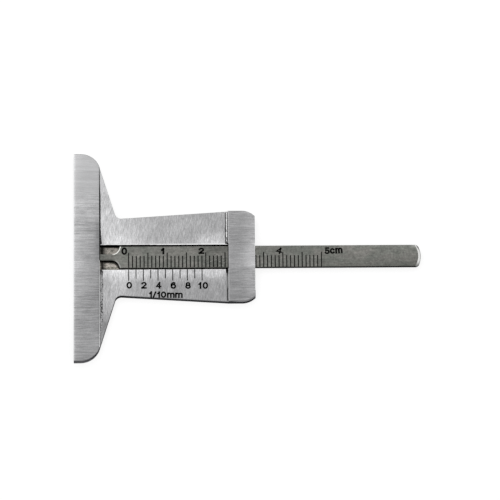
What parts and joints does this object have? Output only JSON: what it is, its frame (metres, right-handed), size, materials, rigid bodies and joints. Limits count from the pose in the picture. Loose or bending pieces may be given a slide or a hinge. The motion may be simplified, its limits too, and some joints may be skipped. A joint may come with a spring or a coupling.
{
  "type": "tire tread depth gauge",
  "caption": "Flat steel T-shaped depth gauge: a foot to lay across a tyre's tread, and a graduated rule with a narrow probe that slides in the body's channel past a vernier scale.",
  "frame": {"origin": "middle of the measuring face's lower edge, where it meets the flat back", "axes": "+X from the measuring face along the rule to its domed end, +Y along the foot, +Z from the flat back to the graduated side"},
  "size_m": [0.09, 0.057, 0.0022],
  "materials": {
    "satin_steel": "satin",
    "rule_steel": "satin",
    "filler_metal": "rough",
    "spring_bronze": "satin",
    "black_enamel": "matte"
  },
  "bodies": {
    "frame": {"frame": "satin_steel", "foot_cover": "satin_steel", "end_cover": "satin_steel", "friction_spring": "spring_bronze", "foot_braze": "filler_metal", "end_braze": "filler_metal"},
    "rule": {"depth_rule": "rule_steel"}
  },
  "joints": [
    {"name": "rule_slide", "type": "slide", "parent": "frame", "child": "rule", "axis": [-1, 0, 0], "range_m": [0, 0.03]}
  ]
}
